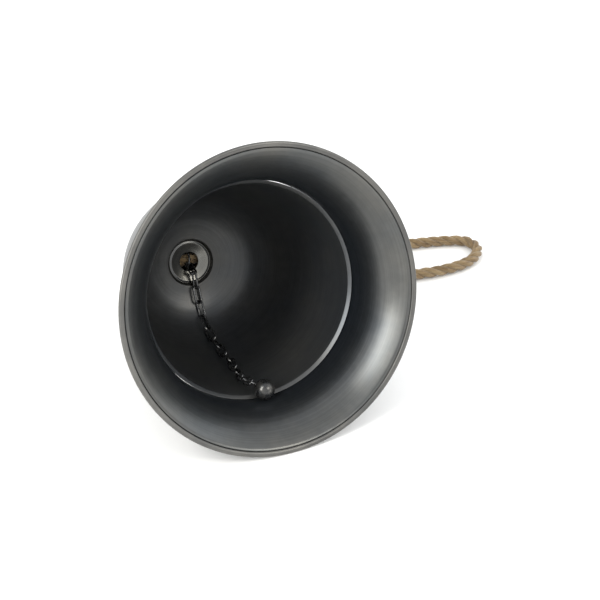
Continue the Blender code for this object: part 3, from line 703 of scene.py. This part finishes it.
# ---------------------------------------------------------------- rope: three jute strands, laid up right-handed
KX, KY, KZ = (c / MM for c in world(rope_d, 0.0))
FLOOR_Z = ROPE_D / 2 + 0.4
JOINT_X, JOINT_Y, JOINT_Z = KX + 44.0, KY + 36.0, 7.6
ROUTE = [(JOINT_X - 15, JOINT_Y + 1.4, JOINT_Z + 3.2), (KX + 12, KY + 40, 15.5), (KX - 6, KY + 39, 23.5), (KX - 22, KY + 32, 31.5),
         (KX - 32.5, KY + 18, 37.5), (KX - 29, KY + 4.5, KZ), (KX - 16, KY, KZ), (KX, KY, KZ), (KX + 16, KY, KZ),
         (KX + 32, KY - 0.8, KZ - 3.0), (KX + 56, KY - 4, KZ - 12.5), (KX + 84, KY - 9, KZ - 25),
         (KX + 112, KY - 14.5, FLOOR_Z + 3.0), (KX + 138, KY - 19.5, FLOOR_Z), (KX + 160, KY - 24.5, FLOOR_Z),
         (KX + 183, KY - 27, FLOOR_Z), (KX + 205, KY - 23, FLOOR_Z), (KX + 218.5, KY - 10, FLOOR_Z),
         (KX + 217, KY + 3.5, FLOOR_Z), (KX + 202, KY + 11, FLOOR_Z), (KX + 180, KY + 16.5, FLOOR_Z),
         (KX + 150, KY + 22, FLOOR_Z), (KX + 118, KY + 28, FLOOR_Z), (KX + 88, KY + 32.5, FLOOR_Z),
         (JOINT_X + 15, JOINT_Y - 1.0, JOINT_Z - 1.6)]
lie = (Vector(ROUTE[0]) - Vector(ROUTE[-1])).normalized()
middle = Vector((JOINT_X, JOINT_Y, JOINT_Z))
rope_line = ([tuple(middle + lie * 0.25), tuple(middle + lie * 7.0)]
             + smooth([tuple(middle + lie * 14.0)] + ROUTE[1:-1] + [tuple(middle - lie * 14.0)], 3)
             + [tuple(middle - lie * 7.0), tuple(middle - lie * 0.25)])

line = np.array(smooth([rope_line[0]] + rope_line[1:], 6))
run = np.r_[0, np.cumsum(np.linalg.norm(np.diff(line, axis=0), axis=1))]
step = 0.75
S = np.linspace(0, run[-1], int(run[-1] / step) + 1)
C = np.stack([np.interp(S, run, line[:, k]) for k in range(3)], 1)
for _ in range(3):      # take the polyline's corners off
    C[1:-1] = (C[:-2] + 2 * C[1:-1] + C[2:]) / 4
T = np.gradient(C, axis=0)
T /= np.linalg.norm(T, axis=1)[:, None]
N = transport(C, T)
B = np.cross(T, N)
LAY = 25.0            # length of one turn of the strands
OFF, STRAND = 1.92, 1.85
YARNS, YARN_LAY = 7, 15.0
SIDES = 30
rng = np.random.default_rng(11)
verts, faces, fibre, tones = [], [], [], []
base = 0
ang = np.arange(SIDES) * 2 * math.pi / SIDES
strands = []
for k in range(3):
    phi = 2 * math.pi * (S / LAY + k / 3)
    er = np.cos(phi)[:, None] * N + np.sin(phi)[:, None] * B
    ctr = C + er * OFF
    wave = sum(a * np.sin(S * f + p) for a, f, p in zip((0.03, 0.02, 0.018), (0.11, 0.37, 0.83), rng.uniform(0, 6.28, 3)))
    st = np.gradient(ctr, axis=0)
    st /= np.linalg.norm(st, axis=1)[:, None]
    en = er - st * np.sum(er * st, 1)[:, None]
    en /= np.linalg.norm(en, axis=1)[:, None]
    eb = np.cross(st, en)
    psi = -2 * math.pi * S / YARN_LAY
    lobes = np.abs(np.cos(YARNS / 2 * (ang[None, :] - psi[:, None] + k)))
    ragged = sum(a * np.sin(YARNS * n * (ang[None, :] - psi[:, None]) + S[:, None] * f + p)
                 for a, n, f, p in zip((0.012, 0.010, 0.008), (1, 2, 3), (0.9, 1.7, 2.9), rng.uniform(0, 6.28, 3)))
    rad = STRAND * (0.93 + 0.075 * lobes ** 0.6 + ragged) * (1 + wave)[:, None]
    rad = np.minimum(rad, STRAND * 1.02)
    V = ctr[:, None] + rad[..., None] * (np.cos(ang)[None, :, None] * en[:, None] + 1.03 * np.sin(ang)[None, :, None] * eb[:, None])
    verts.append(V.reshape(-1, 3))
    turn = ang[None, :] - psi[:, None]
    fibre.append(np.stack([STRAND * np.cos(turn) + 40 * k, STRAND * np.sin(turn), np.repeat(S[:, None], SIDES, 1)], -1).reshape(-1, 3))
    tones.append(np.full(V.shape[0] * SIDES, (0.35, 0.62, 0.50)[k]))
    n = len(S)
    idx = np.arange(n - 1)[:, None] * SIDES + np.arange(SIDES)[None] + base
    nxt = np.arange(n - 1)[:, None] * SIDES + (np.arange(SIDES)[None] + 1) % SIDES + base
    faces += np.stack([idx, nxt, nxt + SIDES, idx + SIDES], -1).reshape(-1, 4).tolist()
    faces.append([base + q for q in range(SIDES)][::-1])
    faces.append([base + (n - 1) * SIDES + q for q in range(SIDES)])
    base += n * SIDES
    strands.append((ctr, en, eb, rad))
V = np.concatenate(verts) * MM
mesh = bpy.data.meshes.new("jute_rope_laid")
mesh.from_pydata(V.tolist(), [], faces)
att = mesh.attributes.new("fibre", 'FLOAT_VECTOR', 'POINT')
att.data.foreach_set("vector", np.concatenate(fibre).astype(np.float32).ravel())
att = mesh.attributes.new("tone", 'FLOAT', 'POINT')
att.data.foreach_set("value", np.concatenate(tones).astype(np.float32))
mesh.shade_smooth()
rope = new_object("jute_rope_laid", mesh, JUTE, None, None)
settle(rope, "bell", "jute", "hanging_rope")

# loose fibres, kept off the bore, the ring and the whipping
near_knob = np.abs(S - S[np.argmin(np.linalg.norm(C - np.array((KX, KY, KZ)), axis=1))]) < 17.0
ok = (~near_knob) & (S > WHIP_LEN / 2 + 1) & (S < S[-1] - WHIP_LEN / 2 - 1)
spots = np.flatnonzero(ok)
hv, hf, ht = [], [], []
HAIR_COUNT = 2600
for h in range(HAIR_COUNT):
    i = int(rng.choice(spots))
    ctr, en, eb, rad = strands[int(rng.integers(3))]
    a = rng.uniform(-1.5, 1.5)
    out = en[i] * math.cos(a) + eb[i] * math.sin(a)
    root = ctr[i] + out * STRAND * 0.93
    along = T[i] * (1 if rng.random() < 0.5 else -1)
    length = rng.uniform(1.5, 5.5) * (1.4 if rng.random() < 0.12 else 1.0)
    lift = rng.uniform(0.05, 0.55) ** 1.3
    sidew = np.cross(out, along) * rng.uniform(-0.7, 0.7)
    d0 = along + out * lift + sidew * 0.5
    d0 /= np.linalg.norm(d0)
    curl = np.cross(d0, out) * rng.uniform(-0.5, 0.5) - out * rng.uniform(0.0, 0.3)
    thick = rng.uniform(0.025, 0.055)
    segs = 5
    pts = [root + d0 * length * t + curl * length * t * t * 0.6 for t in np.linspace(0, 1, segs)]
    pts = [p if p[2] > 0.25 else np.array((p[0], p[1], 0.25)) for p in pts]
    u = np.cross(d0, np.array((0.3, 0.2, 0.93)))
    u /= np.linalg.norm(u)
    w = np.cross(d0, u)
    b0 = len(hv)
    for q, p in enumerate(pts):
        t = thick * (1 - 0.75 * q / (segs - 1))
        for s in range(3):
            th = 2 * math.pi * s / 3
            hv.append(p + (u * math.cos(th) + w * math.sin(th)) * t)
            ht.append(0.0)
    tone_h = float(rng.uniform(0.1, 1.0))
    for q in range(segs * 3):
        ht[b0 + q] = tone_h
    for q in range(segs - 1):
        for s in range(3):
            s2 = (s + 1) % 3
            hf.append((b0 + q * 3 + s, b0 + q * 3 + s2, b0 + (q + 1) * 3 + s2, b0 + (q + 1) * 3 + s))
    hf.append((b0 + 2, b0 + 1, b0))
    e = b0 + (segs - 1) * 3
    hf.append((e, e + 1, e + 2))
mesh = bpy.data.meshes.new("jute_rope_fibres")
mesh.from_pydata((np.array(hv) * MM).tolist(), [], hf)
att = mesh.attributes.new("tone", 'FLOAT', 'POINT')
att.data.foreach_set("value", np.array(ht, np.float32))
mesh.shade_smooth()
fibres = new_object("jute_rope_fibres", mesh, HAIRS, None, None)
settle(fibres, "bell", "jute")

# whipping: one layer of close turns of two-ply twine over the rope's butted ends
z = lie
x = Vector((0, 0, 1)).cross(z).normalized()
y = z.cross(x)
TW = 0.78             # twine radius
TURNS = int((WHIP_LEN - 2 * TW) / (2 * TW * 0.98))
per_turn = 30
n = TURNS * per_turn
pitch = (WHIP_LEN - 2 * TW) / TURNS
ply_v, ply_f, ply_fib, ply_t = [], [], [], []
for ply in range(2):
    ctrs = []
    for i in range(n + 1):
        t = 2 * math.pi * i / per_turn
        zz = -WHIP_LEN / 2 + TW + pitch * i / per_turn
        r = WHIP_R - TW - 0.06
        c = middle + z * zz + (x * math.cos(t) + y * math.sin(t)) * r
        outd = x * math.cos(t) + y * math.sin(t)
        tw = 2 * math.pi * (i / per_turn) * 9.0 + math.pi * ply
        c = c + (outd * math.cos(tw) + z * math.sin(tw)) * TW * 0.42
        ctrs.append(c * MM)
    tm = tube_mesh("ply", ctrs, TW * 0.60 * MM, 10, False)
    b0 = len(ply_v)
    for k, vert in enumerate(tm.vertices):
        ply_v.append(tuple(vert.co))
        ring_i, side_i = divmod(k, 10)
        a = 2 * math.pi * side_i / 10 + ring_i * 0.35
        ply_fib.append((0.5 * math.cos(a) + 9 * ply, 0.5 * math.sin(a), ring_i * 1.0))
        ply_t.append(0.45 + 0.2 * ply)
    for p in tm.polygons:
        ply_f.append(tuple(b0 + q for q in p.vertices))
    bpy.data.meshes.remove(tm)
mesh = bpy.data.meshes.new("rope_whipping_twine")
mesh.from_pydata(ply_v, [], ply_f)
att = mesh.attributes.new("fibre", 'FLOAT_VECTOR', 'POINT')
att.data.foreach_set("vector", np.array(ply_fib, np.float32).ravel())
att = mesh.attributes.new("tone", 'FLOAT', 'POINT')
att.data.foreach_set("value", np.array(ply_t, np.float32))
mesh.shade_smooth()
whip = new_object("rope_whipping_twine", mesh, TWINE, None, None)
settle(whip, "bell", "jute", "rope_whipping")

# ---------------------------------------------------------------- floor and studio light
bpy.ops.mesh.primitive_plane_add(size=8.0, location=(0.0, 0.0, 0.0))
floor = bpy.context.object
floor.name = "floor"
fm = Nodes("pale_floor")
fm.set("Base Color", (0.93, 0.93, 0.93, 1.0))
fm.set("Roughness", 0.9)
fm.set("Specular IOR Level", 0.1)
floor.data.materials.append(fm.mat)

world_data = bpy.data.worlds.new("studio")
scene.world = world_data
world_data.use_nodes = True
bg = world_data.node_tree.nodes["Background"]
bg.inputs["Color"].default_value = (0.985, 0.995, 1.0, 1.0)
bg.inputs["Strength"].default_value = 1.25


def softbox(name, at, target, width, height, power, colour=(1.0, 1.0, 1.0)):
    data = bpy.data.lights.new(name, 'AREA')
    data.shape = 'RECTANGLE'
    data.size, data.size_y = width, height
    data.energy = power
    data.color = colour
    obj = bpy.data.objects.new(name, data)
    scene.collection.objects.link(obj)
    obj.location = at
    obj.rotation_euler = (Vector(target) - Vector(at)).to_track_quat('-Z', 'Y').to_euler()
    return obj


softbox("left_strip", (-1.12, -0.58, 0.96), (0.05, -0.05, 0.08), 0.30, 1.1, 17.5, (1.0, 0.985, 0.93))
softbox("right_fill", (1.25, 0.10, 0.60), (0.0, -0.05, 0.08), 1.0, 0.9, 3.4, (0.93, 0.97, 1.0))
softbox("front_fill", (0.56, -1.12, 0.86), (0.0, 0.06, 0.05), 0.45, 0.40, 4.4, (1.0, 0.97, 0.90))
